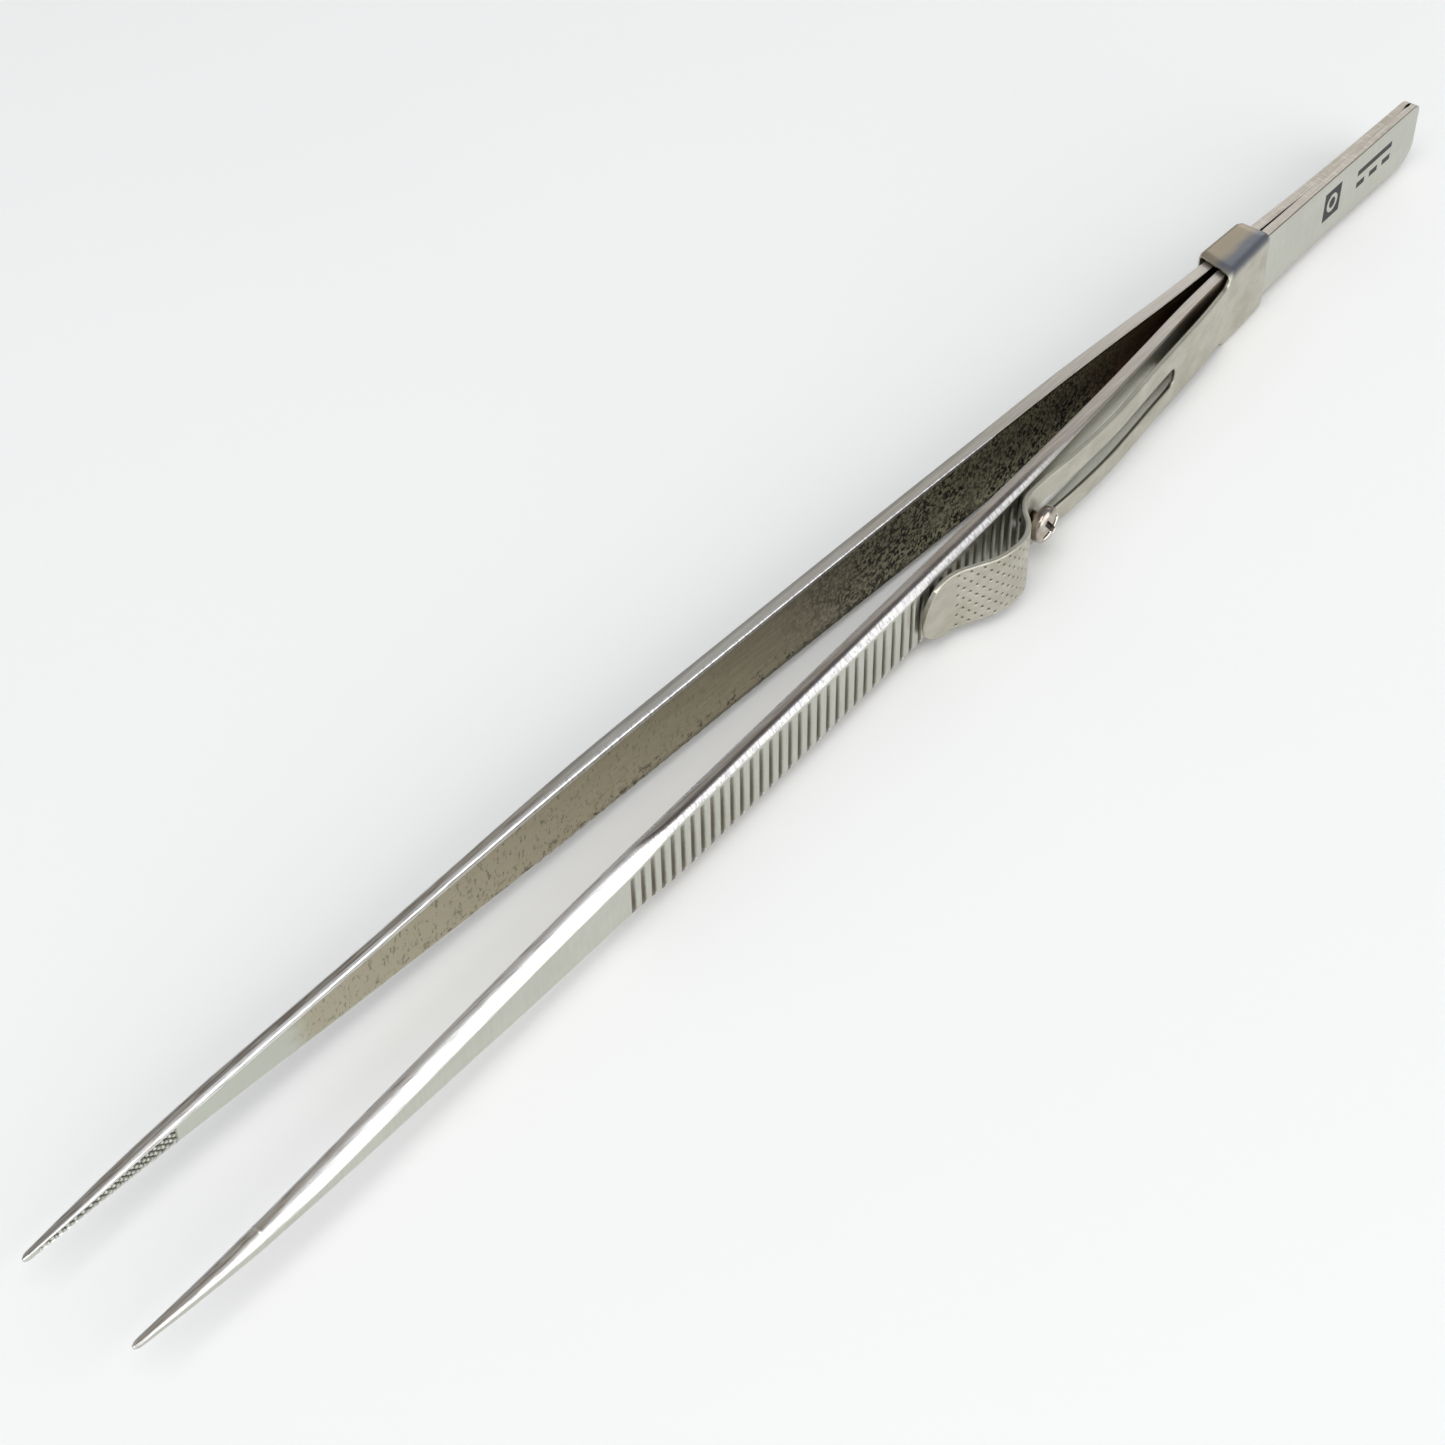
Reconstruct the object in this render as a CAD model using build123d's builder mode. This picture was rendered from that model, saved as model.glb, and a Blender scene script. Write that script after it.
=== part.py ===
from build123d import *
import math
import os

# Slide-lock precision tweezers, in millimetres.
#
# Two spring-steel leaves are welded together at the tail and bow apart towards their tips.
# A bent sheet slide has a collar round both leaves, a slotted strip along the front leaf and
# a dimpled thumb tab. A screw in the front leaf guides the slot. Pushed towards the tips, the
# collar wedges the arms shut and locks them.
#
# +X runs from the tail to the tips, +Y from the rear leaf to the front leaf, and +Z across the
# leaves. The origin is the centre of the bounding box in X and Y, at its lowest height.
# Lengths along the tweezers are counted from the tail end, gaps and thicknesses from the
# closing plane between the leaves, and heights from the middle of the leaves' width.

# ---- driving dimensions ----
length = 165.0
weld_end = 28.5               # the leaves are one block up to here and bend from here on
leaf_clearance = 0.02         # hairline at the bend between a tail block and its arm

# (distance from the tail, half of the gap between the inner faces)
gap_knots = [(28.5, 0.012), (32, 0.14), (35, 0.255), (42, 0.565), (50, 1.16), (58, 1.67), (75, 2.38),
             (95, 3.06), (115, 3.63), (135, 4.12), (150, 4.53), (165, 4.75)]
# (distance from the tail, half of the leaf's width)
width_knots = [(0, 2.95), (20, 3.0), (36, 3.4), (75, 3.35), (95, 3.15), (113, 2.98), (125, 2.6),
               (135, 2.05), (150, 1.18), (165, 0.35)]
# (distance from the tail, leaf thickness)
thickness_knots = [(0, 1.05), (30, 1.05), (55, 1.2), (75, 1.4), (110, 1.35), (148, 1.45),
                   (158, 1.1), (165, 0.6)]
# (distance from the tail, how far the long bevels cut into the outer face's width)
bevel_knots = [(0, 0.15), (55, 0.15), (80, 0.3), (100, 0.36), (120, 0.6), (140, 0.7),
               (152, 0.55), (165, 0.2)]
bevel_depth_ratio = 0.26      # bevel depth as a share of the leaf's thickness
section_step = 7.5            # spacing of the sections that shape an arm

tail_top_radius = 1.0
tail_bottom_radius = 2.8
tail_chamfer = 0.2

groove_count = 42
groove_pitch = 1.168
groove_first = 119.4          # the groove nearest the tips
groove_width = 0.55
groove_depth = 0.2

sheet = 0.45                  # thickness of the slide's sheet
collar_start = 28.9
collar_end = 35.9
collar_front_room = (1.15, 1.58)   # closing plane to the front wall's inside, at its two ends
collar_rear_room = (1.48, 1.6)    # closing plane to the rear wall's inside, at its two ends
collar_half_height = 3.95
collar_corner = 0.75

strip_half_width = 2.9
strip_line = [(32.5, 1.6), (36, 1.8), (41, 2.43), (46, 2.88), (50, 3.23), (54, 3.65), (58, 4.0),
              (63, 4.12), (69.8, 4.05)]
tab_line = [(69.8, 4.05), (71.4, 4.75), (72.8, 6.05), (74.2, 6.7), (75.8, 6.82), (77.6, 6.48),
            (79.2, 5.7), (80.6, 5.03), (82.0, 4.76), (84.65, 4.68)]
slot_start = 46.3
slot_end = 70.4
slot_width = 2.2

screw_at = 69.25
shank_radius = 1.0
head_radius = 1.55
head_seat = 4.95              # closing plane to the underside of the head
head_height = 1.15
recess_width = 0.42
recess_reach = 0.85
recess_depth = 0.6

# ---- frame ----
rear_reach = 5.98             # the rear leaf's outermost point, just behind its tip
front_reach = 7.045           # the thumb tab's crown
tail_x = -length / 2
closing_y = (rear_reach - front_reach) / 2
middle_z = collar_half_height

os.makedirs("parts", exist_ok=True)


def smooth_through(knots, x):
    """Cubic curve through the knots; each inner knot's slope comes from its two neighbours."""
    slopes = []
    for i in range(len(knots)):
        before = knots[max(i - 1, 0)]
        after = knots[min(i + 1, len(knots) - 1)]
        slopes.append((after[1] - before[1]) / (after[0] - before[0]))
    i = 0
    while i < len(knots) - 2 and x > knots[i + 1][0]:
        i += 1
    (x0, y0), (x1, y1) = knots[i], knots[i + 1]
    span = x1 - x0
    t = (x - x0) / span
    rise = (3 - 2 * t) * t * t
    return (y0 * (1 - rise) + y1 * rise
            + slopes[i] * span * t * (1 - t) ** 2 - slopes[i + 1] * span * t * t * (1 - t))


def half_gap(x):
    return smooth_through(gap_knots, x) if x > weld_end else 0.0


def outer_height(x):
    """From the closing plane to the outer face of a leaf."""
    return half_gap(x) + smooth_through(thickness_knots, x)


def across(x):
    """Plane square to the length, with local x along +Y and local y along +Z."""
    return Plane(origin=(tail_x + x, closing_y, middle_z), x_dir=(0, 1, 0), z_dir=(1, 0, 0))


plan = Plane(origin=(tail_x, closing_y, middle_z))
elevation = Plane(origin=(tail_x, closing_y, middle_z), x_dir=(1, 0, 0), z_dir=(0, -1, 0))


def leaf_section(x, side):
    """Flat inner face, flat edges and a bevelled outer face."""
    gap = half_gap(x)
    half = smooth_through(width_knots, x)
    thick = smooth_through(thickness_knots, x)
    flat = half - smooth_through(bevel_knots, x)
    edge = thick * (1 - bevel_depth_ratio)
    with BuildSketch(across(x)) as section:
        Polygon(
            (side * gap, -half), (side * gap, half), (side * (gap + edge), half),
            (side * (gap + thick), flat), (side * (gap + thick), -flat),
            (side * (gap + edge), -half), align=None,
        )
    return section.sketch


def leaf_length(start, end, side):
    """Sections from start to end, evenly spaced, joined by straight-sided skins."""
    spans = math.ceil((end - start) / section_step)
    stations = [start + (end - start) * i / spans for i in range(spans + 1)]
    return loft([leaf_section(x, side) for x in stations], ruled=True)


# ---- tail blocks: the welded ends of the two leaves, cut from flat strip ----
def tail_outline():
    """Side view of the tail: a small round at its top corner and a large one at its bottom."""
    tall = smooth_through(width_knots, 0)
    wide = smooth_through(width_knots, weld_end)
    top = tail_top_radius
    low = tail_bottom_radius
    slack = 1 - math.sqrt(0.5)
    with BuildSketch(elevation) as outline:
        with BuildLine():
            Line((weld_end, wide), (top, tall))
            ThreePointArc((top, tall), (slack * top, tall - slack * top), (0, tall - top))
            Line((0, tall - top), (0, low - tall))
            ThreePointArc((0, low - tall), (slack * low, slack * low - tall), (low, -tall))
            Polyline((low, -tall), (weld_end, -wide), (weld_end, wide))
        make_face()
    return outline.sketch


def tail_block(side, name):
    with BuildPart() as block:
        extrude(tail_outline(), amount=-side * smooth_through(thickness_knots, 0))
        outer_face_rim = block.faces().sort_by(Axis.Y)[-1 if side > 0 else 0].edges()
        chamfer(outer_face_rim.sort_by(Axis.X)[:-1], length=tail_chamfer)
    block.part.label = name
    return block.part


front_tail = tail_block(1, "front_tail")
export_step(front_tail, "parts/front_tail.step")
rear_tail = tail_block(-1, "rear_tail")
export_step(rear_tail, "parts/rear_tail.step")


# ---- arms: the free lengths of the two leaves, with cross grooves for the fingers ----
def arm_body(side):
    with BuildPart() as arm:
        add(leaf_length(weld_end + leaf_clearance, length, side))
        for i in range(groove_count):
            x = groove_first - i * groove_pitch
            with Locations(Plane(origin=(tail_x + x, closing_y + side * outer_height(x), middle_z))):
                Box(groove_width, 2 * groove_depth, 2 * collar_half_height, mode=Mode.SUBTRACT)
    return arm


with BuildPart() as front_arm:
    add(arm_body(1).part)
    with Locations(Plane(origin=(tail_x + screw_at, closing_y, middle_z), z_dir=(0, 1, 0))):
        Hole(shank_radius, depth=10)
front_arm.part.label = "front_arm"
export_step(front_arm.part, "parts/front_arm.step")

rear_arm = arm_body(-1)
rear_arm.part.label = "rear_arm"
export_step(rear_arm.part, "parts/rear_arm.step")


# ---- lock slide: collar, slotted strip and thumb tab, bent from one sheet ----
def collar_section(end, inset):
    """Rounded rectangle of the collar at one of its two ends, inset by the sheet for the inside."""
    front = collar_front_room[end] + sheet - inset
    rear = collar_rear_room[end] + sheet - inset
    with BuildSketch(across((collar_start, collar_end)[end])) as section:
        with Locations(((front - rear) / 2, 0)):
            RectangleRounded(front + rear, 2 * (collar_half_height - inset), collar_corner - inset)
    return section.sketch


with BuildPart() as lock_slide:
    with BuildSketch(plan):
        with BuildLine() as bent_line:
            Spline(*strip_line)
            Spline(*tab_line)
        trace(bent_line.line, sheet)
    extrude(amount=strip_half_width, both=True)
    with BuildSketch(elevation):
        with Locations((tab_line[-1][0] - strip_half_width, 0)):
            Circle(strip_half_width)
        with Locations((tab_line[-1][0] / 2 - strip_half_width / 2, 0)):
            Rectangle(tab_line[-1][0] - strip_half_width, 2 * strip_half_width)
    extrude(amount=2 * front_reach, both=True, mode=Mode.INTERSECT)
    with BuildSketch(elevation):
        with Locations(((slot_start + slot_end) / 2, 0)):
            SlotOverall(slot_end - slot_start, slot_width)
    extrude(amount=2 * front_reach, both=True, mode=Mode.SUBTRACT)
    add(loft([collar_section(0, 0), collar_section(1, 0)]))
    add(loft([collar_section(0, sheet), collar_section(1, sheet)]), mode=Mode.SUBTRACT)
lock_slide.part.label = "lock_slide"
export_step(lock_slide.part, "parts/lock_slide.step")


# ---- guide screw: domed head with a cross recess, threaded into the front arm ----
with BuildPart() as guide_screw:
    shank_end = half_gap(screw_at) + 0.1
    head_rim = head_seat + 0.3 * head_height
    head_top = head_seat + head_height
    with BuildSketch(Plane(origin=(tail_x + screw_at, closing_y, middle_z))):
        with BuildLine():
            Polyline((0, shank_end), (shank_radius, shank_end), (shank_radius, head_seat),
                     (head_radius, head_seat), (head_radius, head_rim))
            ThreePointArc((head_radius, head_rim),
                          (0.72 * head_radius, head_seat + 0.78 * head_height), (0, head_top))
            Line((0, head_top), (0, shank_end))
        make_face()
    revolve(axis=Axis((tail_x + screw_at, closing_y, middle_z), (0, 1, 0)))
    recess_floor = closing_y + head_top - recess_depth
    with BuildSketch(Plane(origin=(tail_x + screw_at, recess_floor, middle_z), z_dir=(0, 1, 0))):
        Rectangle(2 * recess_reach, recess_width)
        Rectangle(recess_width, 2 * recess_reach)
    extrude(amount=head_height, mode=Mode.SUBTRACT)
guide_screw.part.label = "guide_screw"
export_step(guide_screw.part, "parts/guide_screw.step")
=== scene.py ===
import bmesh
import bpy
import math
from mathutils import Matrix, Vector


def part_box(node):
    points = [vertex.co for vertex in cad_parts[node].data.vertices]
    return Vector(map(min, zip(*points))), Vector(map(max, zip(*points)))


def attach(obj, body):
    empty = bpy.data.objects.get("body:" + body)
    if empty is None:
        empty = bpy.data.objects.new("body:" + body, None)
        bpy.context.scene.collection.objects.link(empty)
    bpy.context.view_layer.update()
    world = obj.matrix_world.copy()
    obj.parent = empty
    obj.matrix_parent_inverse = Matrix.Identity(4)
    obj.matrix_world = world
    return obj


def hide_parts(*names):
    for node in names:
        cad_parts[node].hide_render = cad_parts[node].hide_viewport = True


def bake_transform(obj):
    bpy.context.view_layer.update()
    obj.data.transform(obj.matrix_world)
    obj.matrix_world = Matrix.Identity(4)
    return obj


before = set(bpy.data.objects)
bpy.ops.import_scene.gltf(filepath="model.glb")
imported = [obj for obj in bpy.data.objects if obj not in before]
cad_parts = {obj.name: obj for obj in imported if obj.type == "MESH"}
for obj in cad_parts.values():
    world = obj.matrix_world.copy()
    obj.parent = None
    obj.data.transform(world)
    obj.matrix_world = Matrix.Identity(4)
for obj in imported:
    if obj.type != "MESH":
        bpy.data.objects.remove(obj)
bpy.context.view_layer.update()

# ---------------------------------------------------------------------------------------------
# The bench: a plain pale top that the tweezers lie on, a camera beyond their tips, and soft boxes
# round them. Places on the tweezers are in millimetres from the tail end, the closing plane
# between the leaves and the middle of their width; place() puts them where the frame has them.
# ---------------------------------------------------------------------------------------------
MM = 0.001
tail_low, tail_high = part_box("front_tail")
TAIL_END = tail_low.x
CLOSING_PLANE = tail_low.y
MIDDLE = (tail_low.z + tail_high.z) / 2


def place(x, y, z):
    return Vector((TAIL_END + x * MM, CLOSING_PLANE + y * MM, MIDDLE + z * MM))


class Wire:
    """A socket of a material's nodes; sums on it add Math nodes."""

    def __init__(self, finish, socket):
        self.finish = finish
        self.socket = socket

    def sum_of(self, operation, first, second):
        return self.finish.add("ShaderNodeMath", {"operation": operation}, {0: first, 1: second})

    def __add__(self, other):
        return self.sum_of("ADD", self, other)

    __radd__ = __add__

    def __sub__(self, other):
        return self.sum_of("SUBTRACT", self, other)

    def __rsub__(self, other):
        return self.sum_of("SUBTRACT", other, self)

    def __mul__(self, other):
        return self.sum_of("MULTIPLY", self, other)

    __rmul__ = __mul__

    def __pow__(self, other):
        return self.sum_of("POWER", self, other)

    def __truediv__(self, other):
        return self.sum_of("DIVIDE", self, other)

    def rising(self, low, high):
        """0 below low and 1 above high, eased between them; the other way round if low > high."""
        if low > high:
            return 1 - self.rising(high, low)
        return self.finish.add("ShaderNodeMapRange", {"interpolation_type": "SMOOTHSTEP"},
                               {"Value": self, "From Min": low, "From Max": high})


class Finish:
    """A material under construction, with one Principled shader."""

    def __init__(self, name):
        self.material = bpy.data.materials.new(name)
        self.material.use_nodes = True
        self.nodes = self.material.node_tree.nodes
        self.links = self.material.node_tree.links
        self.shader = self.nodes["Principled BSDF"]

    def feed(self, socket, value):
        if isinstance(value, Wire):
            self.links.new(value.socket, socket)
        else:
            socket.default_value = value

    def add(self, kind, settings=None, sockets=None, output=0):
        node = self.nodes.new(kind)
        for key, value in (settings or {}).items():
            if key == "stops":
                ramp = node.color_ramp
                while len(ramp.elements) < len(value):
                    ramp.elements.new(0.5)
                for element, (position, colour) in zip(ramp.elements, value):
                    element.position = position
                    element.color = (*colour, 1)
            else:
                setattr(node, key, value)
        for key, value in (sockets or {}).items():
            self.feed(node.inputs[key], value)
        return Wire(self, node.outputs[output])

    def set(self, **values):
        """Sockets of the Principled shader, with spaces in their names as underscores."""
        for key, value in values.items():
            self.feed(self.shader.inputs[key.replace("_", " ")], value)

    def leaf_place(self):
        """Millimetres from the tail end, the closing plane and the middle of the width."""
        coords = self.add("ShaderNodeTexCoord", output="Object")
        start = (-TAIL_END / MM, -CLOSING_PLANE / MM, -MIDDLE / MM)
        return self.add("ShaderNodeMapping", None,
                        {"Vector": coords, "Location": start, "Scale": (1 / MM,) * 3})

    def axis(self, place_wire, index):
        return self.add("ShaderNodeSeparateXYZ", None, {0: place_wire}, output=index)

    def painted(self, name):
        """A value that the mesh carries at its points under this name."""
        return self.add("ShaderNodeAttribute", {"attribute_name": name}, output="Fac")

    def stretched(self, place_wire, per_mm):
        return self.add("ShaderNodeVectorMath", {"operation": "MULTIPLY"}, {0: place_wire, 1: per_mm})

    def noise(self, place_wire, per_mm, detail=2.0, roughness=0.5, distortion=0.0):
        """Noise between 0 and 1, with its own frequency per millimetre along each axis."""
        return self.add("ShaderNodeTexNoise", None,
                        {"Vector": self.stretched(place_wire, per_mm), "Scale": 1.0,
                         "Detail": detail, "Roughness": roughness, "Distortion": distortion})

    def mix(self, factor, first, second, blend="MIX"):
        """A colour: first where the factor is 0, second where it is 1."""
        node = self.nodes.new("ShaderNodeMix")
        node.data_type = "RGBA"
        node.blend_type = blend
        for index, value in ((0, factor), (6, first), (7, second)):
            if isinstance(value, tuple) and len(value) == 3:
                value = (*value, 1)
            self.feed(node.inputs[index], value)
        return Wire(self, node.outputs[2])

    def larger(self, first, second):
        return self.add("ShaderNodeMath", {"operation": "MAXIMUM"}, {0: first, 1: second})

    def bump(self, height, strength, depth_mm):
        return self.add("ShaderNodeBump", None,
                        {"Height": height, "Strength": strength, "Distance": depth_mm * MM})


def tone(red, green, blue):
    """Linear colour from the 0 to 255 values of a colour card."""
    return tuple(((c / 255 + 0.055) / 1.055) ** 2.4 for c in (red, green, blue))


def finished_piece(name, bm, finish, smooth_angle=40):
    """Turns a bmesh into a piece with outward faces, smooth where its faces meet gently."""
    mesh = bpy.data.meshes.new(name)
    for face in bm.faces:
        face.smooth = True
    for edge in bm.edges:
        if len(edge.link_faces) == 2 and edge.calc_face_angle() > math.radians(smooth_angle):
            edge.smooth = False
    bm.to_mesh(mesh)
    bm.free()
    piece = bpy.data.objects.new(name, mesh)
    bpy.context.scene.collection.objects.link(piece)
    mesh.materials.append(finish.material)
    return piece


FLOOR_REACH = 1.6
floor_finish = Finish("pale_bench")
floor_place = floor_finish.add("ShaderNodeTexCoord", output="Object")
floor_cloud = floor_finish.add("ShaderNodeTexNoise", None, {"Vector": floor_place, "Scale": 9.0})
floor_finish.set(
    Base_Color=floor_finish.mix(floor_cloud, (0.90, 0.90, 0.89), (0.93, 0.93, 0.92)),
    Roughness=floor_cloud * 0.1 + 0.6,
)
floor_bm = bmesh.new()
bmesh.ops.create_grid(floor_bm, x_segments=4, y_segments=4, size=FLOOR_REACH)
finished_piece("bench_top", floor_bm, floor_finish)


# Beyond the tips, on the front arm's side, looking back along the length.
EYE = (210.17, 88.24, 138.29)
VIEW_TURN, VIEW_RISE, VIEW_ROLL = (math.radians(angle) for angle in (129.476, 44.683, -0.909))
SENSOR_WIDTH = 36.0
LENS = 67.0

camera_data = bpy.data.cameras.new("bench_camera")
camera_data.sensor_width = SENSOR_WIDTH
camera_data.lens = LENS
camera_data.clip_start = 0.005
camera_data.clip_end = 10
camera = bpy.data.objects.new("bench_camera", camera_data)
bpy.context.scene.collection.objects.link(camera)
towards_eye = Vector((math.sin(VIEW_TURN) * math.cos(VIEW_RISE),
                      -math.cos(VIEW_TURN) * math.cos(VIEW_RISE), math.sin(VIEW_RISE)))
upright = towards_eye.to_track_quat("Z", "Y").to_matrix()
camera.rotation_mode = "QUATERNION"
camera.rotation_quaternion = (upright @ Matrix.Rotation(VIEW_ROLL, 3, "Z")).to_quaternion()
camera.location = place(*EYE)
bpy.context.scene.camera = camera


def soft_box(name, towards, distance, width, height, power):
    """A diffuser facing the middle of the tweezers from the given side."""
    light = bpy.data.lights.new(name, "AREA")
    light.shape = "RECTANGLE"
    light.size = width
    light.size_y = height
    light.energy = power
    lamp = bpy.data.objects.new(name, light)
    bpy.context.scene.collection.objects.link(lamp)
    direction = Vector(towards).normalized()
    lamp.location = direction * distance
    lamp.rotation_mode = "QUATERNION"
    lamp.rotation_quaternion = direction.to_track_quat("Z", "Y")


soft_box("front_box", (-0.12, 0.9, 0.42), 0.9, 1.1, 0.8, 4.6)
soft_box("top_box", (0.45, 0.2, 1.0), 1.1, 0.8, 0.8, 5.8)
soft_box("tail_box", (-0.88, -0.32, 0.38), 1.0, 0.5, 0.4, 0.7)

room = bpy.data.worlds.new("grey_room")
room.use_nodes = True
room.node_tree.nodes["Background"].inputs["Color"].default_value = (0.95, 0.97, 1.0, 1)
room.node_tree.nodes["Background"].inputs["Strength"].default_value = 0.45
bpy.context.scene.world = room
bpy.context.scene.view_settings.view_transform = "Standard"

# ---------------------------------------------------------------------------------------------
# The two leaves: strips of stainless spring steel, tapered, bowed apart and ground. Their tails
# are welded flush over the last 20 mm. The outer faces have ground bevels along both edges and
# cross grooves for the fingers; the inner faces end in a diamond file cut at the tips.
# ---------------------------------------------------------------------------------------------
LEAF_LENGTH = 165.0
GAP = [(20.5, 0), (24, 0.045), (28.5, 0.085), (32, 0.16), (35, 0.26), (42, 0.565), (50, 1.16),
       (58, 1.67), (75, 2.38), (95, 3.06), (115, 3.63), (135, 4.12), (150, 4.53), (165, 4.75)]
HALF_WIDTH = [(0, 2.95), (20, 3.0), (36, 3.4), (75, 3.35), (95, 3.15), (113, 2.98), (125, 2.6),
              (135, 2.05), (145, 1.48), (155, 0.82), (160, 0.46), (165, 0.24)]
THICKNESS = [(0, 0.7), (10, 0.77), (28, 0.95), (37, 1.05), (55, 1.2), (75, 1.4), (110, 1.35),
             (148, 1.42), (155, 1.26), (160, 0.93), (165, 0.44)]
BEVEL_WIDTH = [(0, 0.05), (30, 0.08), (55, 0.1), (60, 0.2), (66, 0.42), (75, 0.56), (85, 0.66),
               (95, 0.62), (105, 0.54), (114, 0.54), (119, 0.95), (130, 0.9), (140, 0.9),
               (150, 0.78), (155, 0.55), (160, 0.27), (165, 0.12)]
FRONT_BEVEL_DEPTH = [(0, 0.05), (30, 0.08), (55, 0.1), (60, 0.13), (66, 0.27), (75, 0.38),
                     (85, 0.44), (95, 0.4), (105, 0.34), (114, 0.34), (118, 0.76), (125, 0.8),
                     (132, 0.8), (140, 0.72), (150, 0.62), (155, 0.36), (160, 0.17), (165, 0.07)]
REAR_BEVEL_DEPTH = [(0, 0.05), (55, 0.1), (70, 0.3), (80, 0.34), (110, 0.26), (120, 0.34),
                    (130, 0.5), (142, 0.5), (152, 0.38), (160, 0.22), (165, 0.08)]
EDGE_ROUND = [(0, 0.06), (30, 0.12), (55, 0.12), (70, 0.16), (115, 0.2), (125, 0.3),
              (150, 0.3), (165, 0.1)]
INNER_ROUND = [(0, 0.02), (20, 0.02), (24, 0.08), (60, 0.14), (95, 0.22), (120, 0.36), (150, 0.4),
               (165, 0.08)]
REAR_DRAW = [(28.5, 0), (42, 0.05), (50, 0.14), (58, 0.2), (75, 0.17), (95, 0.07),
             (115, 0.02), (165, 0)]
TAIL_TOP_ROUND = 1.4
TAIL_LOW_ROUND = 2.8
TAIL_DROP = 0.25                 # of the tail's end, below the middle of the arms
TAIL_DROP_FROM = 26.0
GROOVE_COUNT = 42
GROOVE_PITCH = 1.105             # at the first groove; each next pitch is wider by the spread
GROOVE_SPREAD = 0.00412
GROOVE_FIRST = 119.05
GROOVE_FLOOR = 0.36
GROOVE_MOUTH = 0.68
GROOVE_DEPTH = 0.26
GROOVE_INSET = 0.2               # of a groove's upper end, below the bevel
GROOVE_FADE = 3.2                # over which the fading share of its depth comes in
GROOVE_FADE_SHARE = 0.35
FILE_CUT_START = 152.6
FILE_CUT_PITCH = 0.5
FILE_CUT_DEPTH = 0.2
FILE_CUT_SLANT = 0.8
FILE_CUT_WIDTH = 0.62            # of a cut, as a share of the pitch
FILE_CUT_FADE = 2.5              # before the very tip
INNER_EDGE_BRIGHT = 66.0         # from here on the inner edges are stoned bright, as the bevels are
END_ROUND = 0.6                  # of the tail's end: along the leaf, in thickness and in width
END_PINCH, END_LIFT = 0.28, 0.12
TIP_ROUND = 0.3                  # of the very tip, likewise, and off its inner face
TIP_PINCH, TIP_LIFT, TIP_INNER = 0.1, 0.08, 0.08
NICK_AT = 154.8                  # a small burr left on the front arm's top edge
NICK_HEIGHT, NICK_REACH = 0.04, 0.1
CREVICE_AT = 1.5                 # where the weld stops short of the tail's end
CREVICE_HALF_WIDTH, CREVICE_REACH = 0.14, 0.6


def through(knots, x):
    """Cubic curve through the knots; each inner knot's slope comes from its two neighbours."""
    slopes = []
    for i in range(len(knots)):
        before = knots[max(i - 1, 0)]
        after = knots[min(i + 1, len(knots) - 1)]
        slopes.append((after[1] - before[1]) / (after[0] - before[0]))
    i = 0
    while i < len(knots) - 2 and x > knots[i + 1][0]:
        i += 1
    (x0, y0), (x1, y1) = knots[i], knots[i + 1]
    span = x1 - x0
    t = (x - x0) / span
    rise = (3 - 2 * t) * t * t
    return (y0 * (1 - rise) + y1 * rise
            + slopes[i] * span * t * (1 - t) ** 2 - slopes[i + 1] * span * t * t * (1 - t))


def half_gap(side, x):
    """From the closing plane to a leaf's inner face; the rear arm is bowed a little less."""
    if x <= GAP[0][0]:
        return 0.0
    return through(GAP, x) - (through(REAR_DRAW, x) if side < 0 and x > REAR_DRAW[0][0] else 0.0)


def ease(value, low, high):
    t = min(max((value - low) / (high - low), 0.0), 1.0)
    return t * t * (3 - 2 * t)


def groove_place(i):
    """Middle of a groove, counted from the tips."""
    return GROOVE_FIRST - i * (GROOVE_PITCH + GROOVE_SPREAD / 2 * i)


def nearest_groove(x):
    reach = GROOVE_PITCH ** 2 + 2 * GROOVE_SPREAD * (GROOVE_FIRST - x)
    return round((math.sqrt(max(reach, 0)) - GROOVE_PITCH) / GROOVE_SPREAD)


def leaf_stations():
    """Places of the cross sections: close at the tail's rounds, the grooves and the file cut."""
    plain_step, taper_step, file_step, brow = 0.75, 0.6, 0.09, 0.07
    stations = [TAIL_LOW_ROUND * (1 - math.cos(math.radians(a))) for a in range(0, 90, 8)]
    x = TAIL_LOW_ROUND
    while x < groove_place(GROOVE_COUNT - 0.5) - 0.6:
        stations.append(x)
        x += plain_step
    for i in reversed(range(GROOVE_COUNT)):
        stations.append(groove_place(i + 0.5))
        for step in (-GROOVE_MOUTH / 2 - brow, -GROOVE_MOUTH / 2, -GROOVE_FLOOR / 2, 0,
                     GROOVE_FLOOR / 2, GROOVE_MOUTH / 2, GROOVE_MOUTH / 2 + brow):
            stations.append(groove_place(i) + step)
    x = GROOVE_FIRST + GROOVE_PITCH
    while x < FILE_CUT_START - TIP_ROUND:
        stations.append(x)
        x += taper_step
    x = FILE_CUT_START - 0.05
    while x < LEAF_LENGTH - TIP_ROUND:
        stations.append(x)
        x += file_step
    stations += [LEAF_LENGTH - back for back in (0.2, 0.1, 0.04, 0)]
    return stations


# Round a section: inner face, band, bevel, outer face, bevel, band.
INNER, BAND, BEVEL, OUTER = 0, 1, 2, 3
ZONES = (INNER, BAND, BEVEL, OUTER, BEVEL, BAND)
FACE_STEPS = (24, 4, 4, 14, 4, 4)
CORNER_STEPS = 4
ROUND_LIMIT = 0.4                # of a side's length, that the round on one corner may take
LEAST_SIDE = 1e-6


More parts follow.
